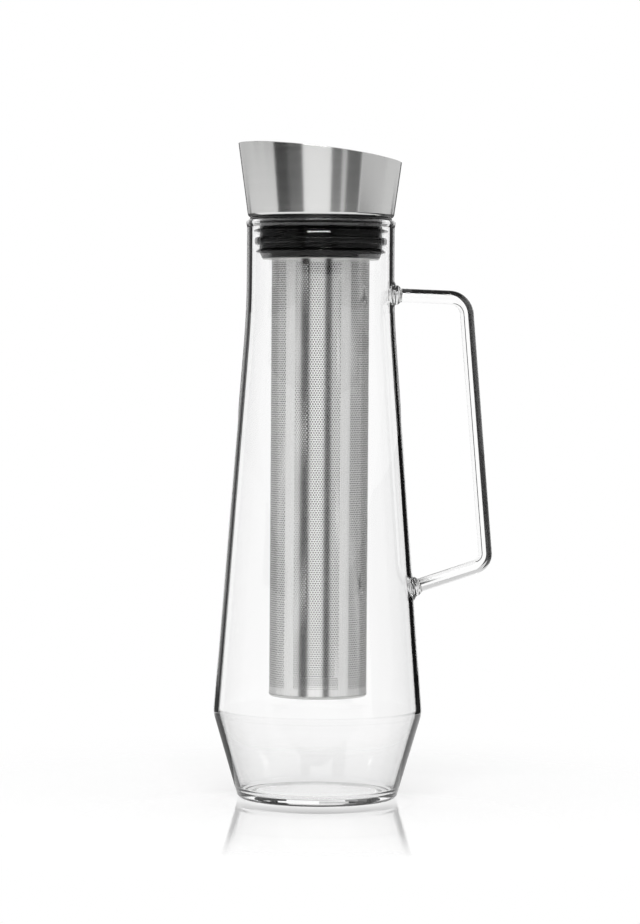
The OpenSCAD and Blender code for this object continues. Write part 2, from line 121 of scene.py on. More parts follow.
def pick(piece, wanted):
    """Select, in edit mode, the edges whose two ends are both wanted."""
    bpy.ops.mesh.select_mode(type="EDGE")
    bpy.ops.mesh.select_all(action="DESELECT")
    mesh = bmesh.from_edit_mesh(piece.data)
    chosen = {vert for vert in mesh.verts if wanted(vert.co)}
    for edge in mesh.edges:
        edge.select = chosen.issuperset(edge.verts)
    mesh.select_flush_mode()
    bmesh.update_edit_mesh(piece.data)


def wall_radius(z, depth):
    """Radius, in mm, of the wall above the shoulder, at a depth in from its outside."""
    if z >= BLEND_TOP_Z:
        return NECK_R - depth
    if z >= BLEND_FOOT_Z:
        blend_r = NECK_BLEND_R + depth
        return NECK_R + NECK_BLEND_R - math.sqrt(blend_r ** 2 - (BLEND_TOP_Z - z) ** 2)
    return NECK_R + (TAPER_TOP_Z - z) * math.tan(TAPER) - depth / math.cos(TAPER)


root_rows = {round(root - ROOT_REACH + i, 2) for root in ROOTS_Z for i in range(int(2 * ROOT_REACH) + 1)}
blend_rows = {round(BLEND_FOOT_Z + BLEND_STEP * i, 2)
              for i in range(int((BLEND_TOP_Z - BLEND_FOOT_Z) / BLEND_STEP) + 1)}
wall_rows = sorted(root_rows | blend_rows | PLAIN_ROWS_Z)
inner_foot_r = FOOT_R - WALL / math.cos(FOOT_LEAN)
inner_taper_r = NECK_R + TAPER_TOP_Z * math.tan(TAPER) - WALL / math.cos(TAPER)
inner_shoulder_z = (inner_taper_r - inner_foot_r) / (math.tan(TAPER) + math.tan(FOOT_LEAN))
inner_shoulder_r = inner_foot_r + inner_shoulder_z * math.tan(FOOT_LEAN)
bottle = turn("glass_carafe", (
    [(0, HOLLOW_DEPTH, 0), (HOLLOW_R, HOLLOW_DEPTH, STAND_ROUND), (STAND_R, 0, STAND_ROUND)]
    + [(FOOT_R, 0, HEEL_ROUND), (SHOULDER_R, SHOULDER_Z, SHOULDER_ROUND)]
    + [(wall_radius(z, 0), z, 0) for z in wall_rows]
    + [(NECK_R, RIM_Z - STRAIGHT_BELOW, 0), (NECK_R, RIM_Z - BEAD_BELOW, 1)]
    + [(NECK_R + BEAD, RIM_Z - FULL_BEAD_BELOW, 1.5), (NECK_R + BEAD, RIM_Z, 1.2)]
    + [(NECK_R - WALL, RIM_Z, 1.0)]
    + [(wall_radius(z, WALL), z, 0) for z in reversed(wall_rows)]
    + [(inner_shoulder_r, inner_shoulder_z, SHOULDER_ROUND)]
    + [(inner_foot_r + FLOOR_T * math.tan(FOOT_LEAN), FLOOR_T, FLOOR_ROUND), (0, FLOOR_T, 0)]), BOTTLE_SIDES)

bpy.ops.object.mode_set(mode="EDIT")
for root_z in ROOTS_Z:
    inner_point = Vector((wall_radius(root_z, WALL), 0, root_z)) * MM
    bpy.ops.mesh.select_mode(type="VERT")
    bpy.ops.mesh.select_all(action="DESELECT")
    mesh = bmesh.from_edit_mesh(bottle.data)
    min(mesh.verts, key=lambda vert: (vert.co - inner_point).length).select = True
    mesh.select_flush_mode()
    bpy.ops.transform.translate(value=(-ROOT_DENT * MM, 0, 0), use_proportional_edit=True,
                                proportional_edit_falloff="SMOOTH", proportional_size=DENT_R * MM,
                                use_proportional_connected=True)
bpy.ops.object.mode_set(mode="OBJECT")


# The handle: a solid rod of the same glass, bent twice, that swells to a bead and a foot where
# each end is fused to the wall. It is one piece of glass with the bottle, so the two are joined.
ROD_R = 3.25
ROD_SIDES = 48
UPPER_CORNER = (69.0, 238.21)
UPPER_WAY = math.radians(-2.0)
GRIP_WAY = math.radians(-85.17)
LOWER_WAY = math.radians(-161.3)
UPPER_BEND_R = 8.6
LOWER_BEND_R = 6.5
BEND_STEPS = 14
# Each ring of a root, as its distance from the wall's face and its radius.
ROOT_RINGS = ((-1.3, 6.3), (0.0, 6.2), (0.35, 5.5), (0.6, 4.95), (0.9, 4.6), (1.2, 4.62), (1.5, 4.68),
              (1.9, 4.55), (2.3, 4.15), (2.7, 3.75), (3.2, 3.4), (3.9, ROD_R))


def step(angle, distance):
    """A way along the handle's plane, in mm, from an angle that runs from +X up to +Z."""
    return Vector((distance * math.cos(angle), 0, distance * math.sin(angle)))


def next_ring(here, there, turn_by, scale):
    """Pull the selected end ring of the rod on to its next place, and turn and scale it there."""
    bpy.ops.mesh.extrude_region_move(TRANSFORM_OT_translate={"value": (there - here) * MM})
    bpy.ops.transform.rotate(value=turn_by, orient_axis="Y", center_override=there * MM)
    bpy.ops.transform.resize(value=(scale, scale, scale), center_override=there * MM)
    return there


def bend_rod(start, way, radius, turn_by):
    """Bend the rod on from its end ring, to the right of its way, and give the place it ends at."""
    centre = start + step(way - math.pi / 2, radius)
    bpy.ops.mesh.spin(steps=BEND_STEPS, angle=turn_by, center=centre * MM, axis=(0, 1, 0))
    return centre + step(way + turn_by + math.pi / 2, radius)


upper_root = Vector((NECK_R, 0, ROOTS_Z[0]))
lower_root = Vector((wall_radius(ROOTS_Z[1], 0), 0, ROOTS_Z[1]))
upper_corner = Vector((UPPER_CORNER[0], 0, UPPER_CORNER[1]))
grip_line, lower_line = step(GRIP_WAY, 1), step(LOWER_WAY, 1)
across = lower_root - upper_corner
grip_length = across.cross(lower_line).y / grip_line.cross(lower_line).y
lower_corner = upper_corner + grip_line * grip_length

first = upper_root + step(UPPER_WAY, ROOT_RINGS[0][0])
bpy.ops.object.select_all(action="DESELECT")
bpy.ops.mesh.primitive_circle_add(vertices=ROD_SIDES, radius=ROOT_RINGS[0][1] * MM, location=first * MM,
                                  rotation=(0, math.pi / 2 - UPPER_WAY, 0), fill_type="NGON")
handle = bpy.context.active_object
bpy.ops.object.transform_apply(location=True, rotation=True, scale=True)
bpy.ops.object.mode_set(mode="EDIT")
bpy.ops.mesh.select_all(action="SELECT")
at = first
for (_, r0), (distance, r1) in zip(ROOT_RINGS, ROOT_RINGS[1:]):
    at = next_ring(at, upper_root + step(UPPER_WAY, distance), 0, r1 / r0)
turn_by = GRIP_WAY - UPPER_WAY
at = next_ring(at, upper_corner - step(UPPER_WAY, UPPER_BEND_R * math.tan(-turn_by / 2)), 0, 1)
at = bend_rod(at, UPPER_WAY, UPPER_BEND_R, turn_by)
turn_by = LOWER_WAY - GRIP_WAY
at = next_ring(at, lower_corner - step(GRIP_WAY, LOWER_BEND_R * math.tan(-turn_by / 2)), 0, 1)
at = bend_rod(at, GRIP_WAY, LOWER_BEND_R, turn_by)
lean = (TAPER + math.pi) - (LOWER_WAY + 2 * math.pi)
last = len(ROOT_RINGS) - 1
for i in range(last, -1, -1):
    distance, radius = ROOT_RINGS[i]
    before = ROOT_RINGS[min(i + 1, last)][1]
    at = next_ring(at, lower_root - step(LOWER_WAY, distance), lean / last * (i < last), radius / before)
bpy.ops.mesh.select_all(action="SELECT")
bpy.ops.mesh.normals_make_consistent(inside=False)
bpy.ops.object.mode_set(mode="OBJECT")

bpy.ops.object.select_all(action="DESELECT")
bpy.context.view_layer.objects.active = bottle
bottle.select_set(True)
bpy.ops.object.modifier_add(type="BOOLEAN")
fusing = bottle.modifiers[-1]
fusing.operation = "UNION"
fusing.solver = "MANIFOLD"
fusing.object = handle
bpy.ops.object.modifier_apply(modifier=fusing.name)
bpy.data.objects.remove(handle)


def smooth(piece, degrees):
    """Shade a piece smooth up to an angle, and let its large faces rule the shading at its edges."""
    bpy.ops.object.select_all(action="DESELECT")
    bpy.context.view_layer.objects.active = piece
    piece.select_set(True)
    bpy.ops.object.shade_smooth_by_angle(angle=math.radians(degrees))
    bpy.ops.object.modifier_add(type="WEIGHTED_NORMAL")
    piece.modifiers[-1].keep_sharp = True
    bpy.ops.object.modifier_apply(modifier=piece.modifiers[-1].name)


def linear(code):
    """An sRGB hex colour as linear light, with full alpha."""
    parts = [int(code[i:i + 2], 16) / 255 for i in (1, 3, 5)]
    return [p / 12.92 if p <= 0.04045 else ((p + 0.055) / 1.055) ** 2.4 for p in parts] + [1.0]


def add(tree, kind, settings, links=()):
    """Add a node, set its properties and its sockets' values, and link sockets to other nodes' outputs."""
    node = tree.nodes.new(kind)
    for name, value in settings.items():
        if isinstance(name, str) and hasattr(node, name):
            setattr(node, name, value)
        else:
            node.inputs[name].default_value = value
    for name, output in links:
        tree.links.new(node.inputs[name], output)
    return node


def new_material(name):
    """An empty node material, with its output node."""
    material = bpy.data.materials.new(name)
    material.use_nodes = True
    material.node_tree.nodes.clear()
    return material, material.node_tree, add(material.node_tree, "ShaderNodeOutputMaterial", {})


# Borosilicate glass, blown and flame-worked: clear and nearly without colour, so that it shows by
# its bright and dark edges. The blown wall is not quite even, which makes those edges waver a little.
WAVER_MM = 34.0
glass, tree, out = new_material("blown_borosilicate_glass")
place = add(tree, "ShaderNodeTexCoord", {})
waver = add(tree, "ShaderNodeTexNoise", {"Scale": 1000 / WAVER_MM, "Detail": 1.0, "Roughness": 0.4},
            [("Vector", place.outputs["Object"])])
ripple = add(tree, "ShaderNodeBump", {"Strength": 0.25, "Distance": 0.15 * MM},
             [("Height", waver.outputs["Fac"])])
clear = add(tree, "ShaderNodeValToRGB", {}, [("Fac", waver.outputs["Fac"])])
clear.color_ramp.elements[0].color = linear("#FDFDFD")
clear.color_ramp.elements[1].color = linear("#FFFFFF")
body = add(tree, "ShaderNodeBsdfPrincipled", {"Roughness": 0.0, "IOR": 1.473, "Transmission Weight": 1.0},
           [("Base Color", clear.outputs["Color"]), ("Normal", ripple.outputs["Normal"])])
tree.links.new(out.inputs["Surface"], body.outputs["BSDF"])


def fit(piece, material, degrees, body_name, slot_name, *nodes):
    """Finish a piece: its shading, its material, the body it rides on and what it replaces. Its slot name is
    not used.
    """
    smooth(piece, degrees)
    piece.data.materials.clear()
    piece.data.materials.append(material)
    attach(piece, body_name)
    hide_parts(*nodes)


fit(bottle, glass, 50, "carafe", "clear_glass", "glass_body", "handle_rod", "upper_weld", "lower_weld")


# The stopper's gasket: one ring of black silicone, moulded with a flange that lies on the glass rim,
# two soft fins and a rib that press on the inside of the neck, and a foot that the filter hangs under.
GASKET_SIDES = 160
GASKET_BORE_R = 27.35
GASKET_ROOT_R = 29.1
GASKET_FOOT_R = 28.1
GASKET_FOOT_Z = 256.5
LOWER_FIN_R = 30.7
LOWER_FIN_Z = 259.0
RIB_R = 31.4
RIB_Z = 262.7
RIB_TOP_Z = 266.1
UPPER_FIN_R = 31.8
UPPER_FIN_Z = 268.9
FIN_T = 0.6
FLANGE_R = 33.7
FLANGE_TOP_Z = 275.5
gasket = turn("silicone_gasket", [
    (GASKET_BORE_R, GASKET_FOOT_Z, 0.2), (GASKET_FOOT_R, GASKET_FOOT_Z, 0.25),
    (GASKET_FOOT_R, GASKET_FOOT_Z + 0.6, 0), (GASKET_ROOT_R, LOWER_FIN_Z + 0.3, 0),
    (LOWER_FIN_R, LOWER_FIN_Z, 0.25), (LOWER_FIN_R, LOWER_FIN_Z + FIN_T, 0.25),
    (GASKET_ROOT_R, LOWER_FIN_Z + 1.8, 0.4), (GASKET_ROOT_R, RIB_Z, 0.3),
    (RIB_R, RIB_Z, 1.1), (RIB_R, RIB_TOP_Z, 1.1), (GASKET_ROOT_R, RIB_TOP_Z, 0.3),
    (GASKET_ROOT_R, UPPER_FIN_Z - 0.3, 0.3), (UPPER_FIN_R, UPPER_FIN_Z, 0.25),
    (UPPER_FIN_R, UPPER_FIN_Z + FIN_T, 0.25), (GASKET_ROOT_R, UPPER_FIN_Z + 1.5, 0.4),
    (GASKET_ROOT_R, RIM_Z, 0.3), (FLANGE_R, RIM_Z, 0.3), (FLANGE_R, FLANGE_TOP_Z, 0.45),
    (GASKET_BORE_R, FLANGE_TOP_Z, 0.2)], GASKET_SIDES, closed=True)

# Moulded silicone rubber: deep black with a soft satin skin that turns grey where light grazes it.
BLOOM_MM = 6.0
SKIN_GRAIN_MM = 0.5
silicone, tree, out = new_material("black_moulded_silicone")
place = add(tree, "ShaderNodeTexCoord", {})
bloom = add(tree, "ShaderNodeTexNoise", {"Scale": 1000 / BLOOM_MM, "Detail": 5.0},
            [("Vector", place.outputs["Object"])])
skin = add(tree, "ShaderNodeValToRGB", {}, [("Fac", bloom.outputs["Fac"])])
skin.color_ramp.elements[0].color = linear("#030303")
skin.color_ramp.elements[1].color = linear("#0A0A0A")
rub = add(tree, "ShaderNodeMapRange", {"To Min": 0.20, "To Max": 0.30}, [("Value", bloom.outputs["Fac"])])
grain = add(tree, "ShaderNodeTexNoise", {"Scale": 1000 / SKIN_GRAIN_MM, "Detail": 2.0},
            [("Vector", place.outputs["Object"])])
bump = add(tree, "ShaderNodeBump", {"Strength": 0.15, "Distance": 0.02 * MM},
           [("Height", grain.outputs["Fac"])])
body = add(tree, "ShaderNodeBsdfPrincipled", {"IOR": 1.43},
           [("Base Color", skin.outputs["Color"]), ("Roughness", rub.outputs["Result"]),
            ("Normal", bump.outputs["Normal"])])
tree.links.new(out.inputs["Surface"], body.outputs["BSDF"])
fit(gasket, silicone, 35, "seal", "black_silicone", "seal_gasket")


# The pouring collar: stainless sheet spun to a flared ring with a round lower edge, cut on a slant, a
# little bowed, so that the lip stands highest away from the handle, and brushed round on the lathe.
COLLAR_SIDES = 256
SHEET_T = 0.8
COLLAR_Z = FLANGE_TOP_Z
COLLAR_R = 34.5
COLLAR_ROUND = 2.0
FLARE = math.radians(7.6)
BLANK_Z = 316.0
RIM_MID_Z = 307.5
RIM_SLANT = math.radians(6.45)
RIM_BOW = 1.05
RIM_R = 38.5
RIM_BEVEL = 0.28


def collar_radius(z, depth=0):
    """Radius of the collar's side at a height, in mm, at a depth in from its outside."""
    return COLLAR_R + (z - COLLAR_Z) * math.tan(FLARE) - depth / math.cos(FLARE)


collar = turn("pour_collar", [
    (GASKET_BORE_R, COLLAR_Z, 0), (COLLAR_R, COLLAR_Z, COLLAR_ROUND),
    (collar_radius(BLANK_Z), BLANK_Z, 0), (collar_radius(BLANK_Z, SHEET_T), BLANK_Z, 0),
    (collar_radius(COLLAR_Z + SHEET_T, SHEET_T), COLLAR_Z + SHEET_T, COLLAR_ROUND - SHEET_T),
    (GASKET_BORE_R, COLLAR_Z + SHEET_T, 0)], COLLAR_SIDES, closed=True)
bpy.ops.object.mode_set(mode="EDIT")
bpy.ops.mesh.select_all(action="SELECT")
bpy.ops.mesh.bisect(plane_co=(0, 0, RIM_MID_Z * MM),
                    plane_no=(math.sin(RIM_SLANT), 0, math.cos(RIM_SLANT)), clear_outer=True)
bpy.ops.mesh.bridge_edge_loops()
bpy.ops.mesh.hide(unselected=True)
bpy.ops.mesh.select_mode(type="VERT")
bpy.ops.mesh.select_all(action="DESELECT")
mesh = bmesh.from_edit_mesh(collar.data)
for vert in mesh.verts:
    vert.select = not vert.hide and abs(vert.co.y) < 0.01 * MM
mesh.select_flush_mode()
bpy.ops.transform.translate(value=(0, 0, -RIM_BOW * MM), use_proportional_edit=True,
                            proportional_edit_falloff="SMOOTH",
                            proportional_size=math.sqrt(2) * RIM_R * MM)
bpy.ops.mesh.select_mode(type="FACE")
bpy.ops.mesh.select_all(action="SELECT")
bpy.ops.mesh.reveal(select=False)
bpy.ops.mesh.region_to_loop()
bpy.ops.mesh.bevel(offset_type="OFFSET", offset=RIM_BEVEL * MM, segments=3, profile=0.5, affect="EDGES")
bpy.ops.mesh.select_all(action="SELECT")
bpy.ops.mesh.normals_make_consistent(inside=False)
bpy.ops.object.mode_set(mode="OBJECT")

# Stainless steel brushed on a lathe: fine rings run round the collar, so that reflections smear up
# and down and stand as upright stripes. The real lines are finer than 0.2 mm and are drawn coarser.
BRUSH_LINE_MM = 0.7
BRUSH_RUN_MM = 60.0
brushed, tree, out = new_material("lathe_brushed_stainless_steel")
place = add(tree, "ShaderNodeTexCoord", {})
drawn = add(tree, "ShaderNodeMapping",
            {"Scale": (1000 / BRUSH_RUN_MM, 1000 / BRUSH_RUN_MM, 1000 / BRUSH_LINE_MM)},
            [("Vector", place.outputs["Object"])])
lines = add(tree, "ShaderNodeTexNoise", {"Scale": 1.0, "Detail": 6.0, "Roughness": 0.65},
            [("Vector", drawn.outputs["Vector"])])
tone = add(tree, "ShaderNodeValToRGB", {}, [("Fac", lines.outputs["Fac"])])
tone.color_ramp.elements[0].color = linear("#DADAD9")
tone.color_ramp.elements[1].color = linear("#E6E6E5")
rub = add(tree, "ShaderNodeMapRange", {"To Min": 0.15, "To Max": 0.22}, [("Value", lines.outputs["Fac"])])
bump = add(tree, "ShaderNodeBump", {"Strength": 0.04, "Distance": 0.02 * MM},
           [("Height", lines.outputs["Fac"])])
body = add(tree, "ShaderNodeBsdfPrincipled",
           {"Metallic": 1.0, "Anisotropic": 0.6, "Anisotropic Rotation": 0.25},
           [("Base Color", tone.outputs["Color"]), ("Roughness", rub.outputs["Result"]),
            ("Normal", bump.outputs["Normal"])])
tree.links.new(out.inputs["Surface"], body.outputs["BSDF"])
fit(collar, brushed, 35, "lid", "brushed_steel", "pour_collar")


# The filter's sheet: stainless sheet 0.4 mm thick, rolled to a tube, with five long panels that are etched
# a little thinner and full of staggered holes. Plain strips stand between the panels, a wider one at the
# back carries the seam, and plain bands run above and below them.
FRAME_SIDES = 360
FRAME_T = 0.4
TUBE_R = 23.3
TUBE_Z = 50.2
TUBE_TOP_Z = 255.8
PANELS = 5
PANEL_R = 23.2
PANEL_T = 0.3
PANEL_TURN = math.radians(-2.6)
PANEL_LAP_DEGREES = 2
PANEL_LAP = 1
STRIP_W = 5.3
SEAM_W = 14.6
STRIP = math.degrees(STRIP_W / TUBE_R)
SEAM = math.degrees(SEAM_W / TUBE_R)
TOP_BAND = 1.6
BOTTOM_BAND = 3.3
# The real holes stand about 0.96 mm apart. They are drawn coarser, so that a panel's mesh stays light.
HOLE_PITCH = 1.2
HOLE_WIDTH = 0.62
hole_row = HOLE_PITCH * math.sqrt(3) / 2
panel_low, panel_high = TUBE_Z + BOTTOM_BAND, TUBE_TOP_Z - TOP_BAND
panel_width = (360 - SEAM - (PANELS - 1) * STRIP) / PANELS
panel_step = panel_width + STRIP
holes_round = math.ceil(math.radians(panel_width + PANEL_LAP_DEGREES) * PANEL_R / HOLE_PITCH)
holes_up = math.ceil((panel_high - panel_low + PANEL_LAP) / (2 * hole_row))

sheet_rows = (TUBE_Z, panel_low, panel_high, TUBE_TOP_Z)
sheet = turn("filter_frame", [(TUBE_R, z, 0) for z in sheet_rows], FRAME_SIDES)
bpy.ops.object.mode_set(mode="EDIT")
bpy.ops.mesh.select_mode(type="FACE")
bpy.ops.mesh.select_all(action="DESELECT")
mesh = bmesh.from_edit_mesh(sheet.data)
for face in mesh.faces:
    middle = face.calc_center_median()
    angle = math.degrees(math.atan2(middle.x, -middle.y)) + PANELS * panel_step / 2
    in_panel = 0 < angle < PANELS * panel_step and STRIP / 2 < angle % panel_step < panel_step - STRIP / 2
    face.select = panel_low * MM < middle.z < panel_high * MM and in_panel
bmesh.update_edit_mesh(sheet.data)
bpy.ops.mesh.delete(type="FACE")
bpy.ops.mesh.select_all(action="SELECT")
bpy.ops.transform.rotate(value=-PANEL_TURN, orient_axis="Z", center_override=(0, 0, 0))
bpy.ops.object.mode_set(mode="OBJECT")
bpy.ops.object.modifier_add(type="SOLIDIFY")
sheet.modifiers[-1].thickness = FRAME_T * MM
sheet.modifiers[-1].offset = -1
bpy.ops.object.modifier_apply(modifier=sheet.modifiers[-1].name)

# Etched stainless sheet: outside a fine satin grain runs up the tube. The hole walls and the inside are
# painted dark, a painted shade that deepens in from the outside face, so that the holes stand out as dark
# points.
SHEET_LINE_MM = 0.8
SHEET_RUN_MM = 40.0
SHEET_CLOUD_MM = 30.0
SHADE_START_DEPTH = 0.08
SHADE_FULL_DEPTH = 0.22
etched, tree, out = new_material("etched_stainless_sheet")
place = add(tree, "ShaderNodeTexCoord", {})
drawn = add(tree, "ShaderNodeMapping",
            {"Scale": (1000 / SHEET_LINE_MM, 1000 / SHEET_LINE_MM, 1000 / SHEET_RUN_MM)},
            [("Vector", place.outputs["Object"])])
lines = add(tree, "ShaderNodeTexNoise", {"Scale": 1.0, "Detail": 5.0, "Roughness": 0.6},
            [("Vector", drawn.outputs["Vector"])])
cloud = add(tree, "ShaderNodeTexNoise", {"Scale": 1000 / SHEET_CLOUD_MM, "Detail": 2.0},
            [("Vector", place.outputs["Object"])])
tone = add(tree, "ShaderNodeValToRGB", {}, [("Fac", lines.outputs["Fac"])])
tone.color_ramp.elements[0].color = linear("#E8E8E7")
tone.color_ramp.elements[1].color = linear("#F6F6F5")
flat = add(tree, "ShaderNodeVectorMath", {"operation": "MULTIPLY", 1: (1, 1, 0)},
           [(0, place.outputs["Object"])])
radius = add(tree, "ShaderNodeVectorMath", {"operation": "LENGTH"}, [(0, flat.outputs["Vector"])])
# Painted shade: just under the outside face the colour turns dark grey, on the hole walls and the sheet's
# inside.
inside = add(tree, "ShaderNodeMapRange",
             {"From Min": (PANEL_R - SHADE_START_DEPTH) * MM, "From Max": (PANEL_R - SHADE_FULL_DEPTH) * MM},
             [("Value", radius.outputs["Value"])])
hole_shade = add(tree, "ShaderNodeMix", {"data_type": "RGBA", 7: linear("#4A4A49")},
             [(0, inside.outputs["Result"]), (6, tone.outputs["Color"])])
rub = add(tree, "ShaderNodeMapRange", {"To Min": 0.16, "To Max": 0.24}, [("Value", cloud.outputs["Fac"])])
bump = add(tree, "ShaderNodeBump", {"Strength": 0.1, "Distance": 0.02 * MM},
           [("Height", lines.outputs["Fac"])])
body = add(tree, "ShaderNodeBsdfPrincipled", {"Metallic": 1.0},
           [("Base Color", hole_shade.outputs[2]), ("Roughness", rub.outputs["Result"]),
            ("Normal", bump.outputs["Normal"])])
tree.links.new(out.inputs["Surface"], body.outputs["BSDF"])
fit(sheet, etched, 35, "filter", "filter_steel", "filter_tube")

cell_r = HOLE_PITCH / math.sqrt(3)
bpy.ops.object.select_all(action="DESELECT")
bpy.ops.mesh.primitive_circle_add(vertices=6, radius=cell_r * MM, fill_type="NGON")
panel = bpy.context.active_object
bpy.ops.object.mode_set(mode="EDIT")
bpy.ops.mesh.select_mode(type="FACE")
bpy.ops.mesh.select_all(action="SELECT")
bpy.ops.mesh.inset(thickness=(HOLE_PITCH - HOLE_WIDTH) / 2 * MM, depth=0)
bpy.ops.mesh.delete(type="FACE")
bpy.ops.mesh.select_all(action="SELECT")
bpy.ops.mesh.duplicate_move(TRANSFORM_OT_translate={"value": (HOLE_PITCH / 2 * MM, hole_row * MM, 0)})
bpy.ops.object.mode_set(mode="OBJECT")
for count, way in ((holes_round, (HOLE_PITCH * MM, 0, 0)), (holes_up, (0, 2 * hole_row * MM, 0))):
    bpy.ops.object.modifier_add(type="ARRAY")
    row = panel.modifiers[-1]
    row.use_relative_offset = False
    row.use_constant_offset = True
    row.constant_offset_displace = way
    row.count = count
    bpy.ops.object.modifier_apply(modifier=row.name)
bpy.ops.object.mode_set(mode="EDIT")
bpy.ops.mesh.select_all(action="SELECT")
bpy.ops.mesh.remove_doubles(threshold=0.01 * MM)
bpy.ops.object.mode_set(mode="OBJECT")
bpy.ops.object.modifier_add(type="SOLIDIFY")
panel.modifiers[-1].thickness = PANEL_T * MM
panel.modifiers[-1].offset = 1
bpy.ops.object.modifier_apply(modifier=panel.modifiers[-1].name)
panel_w = (holes_round + 0.5) * HOLE_PITCH
panel_h = (2 * holes_up + 1 / 3) * hole_row
panel.rotation_euler.x = math.pi / 2
panel.location = ((0.5 * HOLE_PITCH - panel_w / 2) * MM, 0,
                  (panel_low + panel_high - panel_h) / 2 * MM + cell_r * MM)
bpy.ops.object.transform_apply(location=True, rotation=True, scale=True)
bpy.ops.object.modifier_add(type="SIMPLE_DEFORM")
roll = panel.modifiers[-1]
roll.deform_method = "BEND"
roll.deform_axis = "Z"
roll.angle = panel_w / (PANEL_R - PANEL_T)
bpy.ops.object.modifier_apply(modifier=roll.name)
panel.location.y = -(PANEL_R - PANEL_T) * MM
bpy.ops.object.transform_apply(location=True, rotation=True, scale=True)
for i in range(PANELS):
    bpy.ops.object.select_all(action="DESELECT")
    bpy.context.view_layer.objects.active = panel
    panel.select_set(True)
    bpy.ops.object.duplicate()
    field = bpy.context.active_object
    field.name = field.data.name = f"filter_panel_{i + 1}"
    field.rotation_euler.z = PANEL_TURN + math.radians(panel_step) * (i - (PANELS - 1) / 2)
    bpy.ops.object.transform_apply(location=True, rotation=True, scale=True)
    fit(field, etched, 35, "filter", "filter_steel", "filter_tube")
bpy.data.objects.remove(panel)


# The filter's rim ring and end cap: stainless sheet pressed to shape and spot-welded to the tube. The
# ring's flange meets the gasket's foot, and its collar plugs up into the stopper's core.
FILTER_SIDES = 160
RING_BORE_R = 22.9
RING_R = 27.6
PLUG_R = 24.7
PLUG_BORE_R = 24.0
PLUG_TOP_Z = 264.5
filter_rim = turn("filter_rim", [
    (RING_BORE_R, TUBE_TOP_Z, 0.1), (RING_R, TUBE_TOP_Z, 0.3), (RING_R, GASKET_FOOT_Z, 0.3),
    (PLUG_R, GASKET_FOOT_Z, 0.3), (PLUG_R, PLUG_TOP_Z, 0.25), (PLUG_BORE_R, PLUG_TOP_Z, 0.25),
    (PLUG_BORE_R, GASKET_FOOT_Z, 0.2), (RING_BORE_R, GASKET_FOOT_Z, 0.1)], FILTER_SIDES, closed=True)

# Pressed stainless sheet: an even satin, a little cloudy, with no brush lines.
SATIN_CLOUD_MM = 5.0
SATIN_GRAIN_MM = 0.35
satin, tree, out = new_material("satin_pressed_stainless_steel")
place = add(tree, "ShaderNodeTexCoord", {})
cloud = add(tree, "ShaderNodeTexNoise", {"Scale": 1000 / SATIN_CLOUD_MM, "Detail": 4.0},
            [("Vector", place.outputs["Object"])])
grain = add(tree, "ShaderNodeTexNoise", {"Scale": 1000 / SATIN_GRAIN_MM, "Detail": 2.0},
            [("Vector", place.outputs["Object"])])
tone = add(tree, "ShaderNodeValToRGB", {}, [("Fac", cloud.outputs["Fac"])])
tone.color_ramp.elements[0].color = linear("#C4C4C3")
tone.color_ramp.elements[1].color = linear("#DCDCDA")
rub = add(tree, "ShaderNodeMapRange", {"To Min": 0.28, "To Max": 0.42}, [("Value", cloud.outputs["Fac"])])
bump = add(tree, "ShaderNodeBump", {"Strength": 0.15, "Distance": 0.02 * MM},
           [("Height", grain.outputs["Fac"])])
body = add(tree, "ShaderNodeBsdfPrincipled", {"Metallic": 1.0},
           [("Base Color", tone.outputs["Color"]), ("Roughness", rub.outputs["Result"]),
            ("Normal", bump.outputs["Normal"])])
tree.links.new(out.inputs["Surface"], body.outputs["BSDF"])
fit(filter_rim, satin, 35, "filter", "filter_steel", "filter_rim")

CAP_Z = 48.7
CAP_MID_Z = CAP_Z + 0.5
CAP_FLOOR_Z = CAP_Z + 1.2
CAP_STEP_R = 19.5
CAP_BEAD_R = 20.3
CAP_SIDE_R = 22.85
CAP_BORE_R = 22.15
CAP_TOP_Z = TUBE_Z + 5
filter_base = turn("filter_base", [
    (0, CAP_MID_Z, 0), (CAP_STEP_R, CAP_MID_Z, 0.6), (CAP_BEAD_R, CAP_Z, 0.6), (TUBE_R, CAP_Z, 1.1),
    (TUBE_R, TUBE_Z, 0.1), (CAP_SIDE_R, TUBE_Z, 0.1), (CAP_SIDE_R, CAP_TOP_Z, 0.2),
    (CAP_BORE_R, CAP_TOP_Z, 0.2), (CAP_BORE_R, CAP_FLOOR_Z, 0.5), (0, CAP_FLOOR_Z, 0)], FILTER_SIDES)
fit(filter_base, satin, 35, "filter", "filter_steel", "filter_base")


# The stopper's core: a bush moulded in black polypropylene, that turns in the gasket's bore. Its flange
# lies in the collar, on the collar's own floor, and holds the collar down on the gasket.
CORE_SIDES = 128
CORE_BORE_R = 25.0
CORE_R = 27.2
CORE_Z = 256.9
CORE_FLANGE_R = 31.6
CORE_FLANGE_Z = 276.3
CORE_TOP_Z = 277.8
core = turn("stopper_core", [
    (CORE_BORE_R, CORE_Z, 0.4), (CORE_R, CORE_Z, 0.4), (CORE_R, CORE_FLANGE_Z, 0.2),
    (CORE_FLANGE_R, CORE_FLANGE_Z, 0.3), (CORE_FLANGE_R, CORE_TOP_Z, 0.4), (CORE_BORE_R, CORE_TOP_Z, 0.4)],
    CORE_SIDES, closed=True)

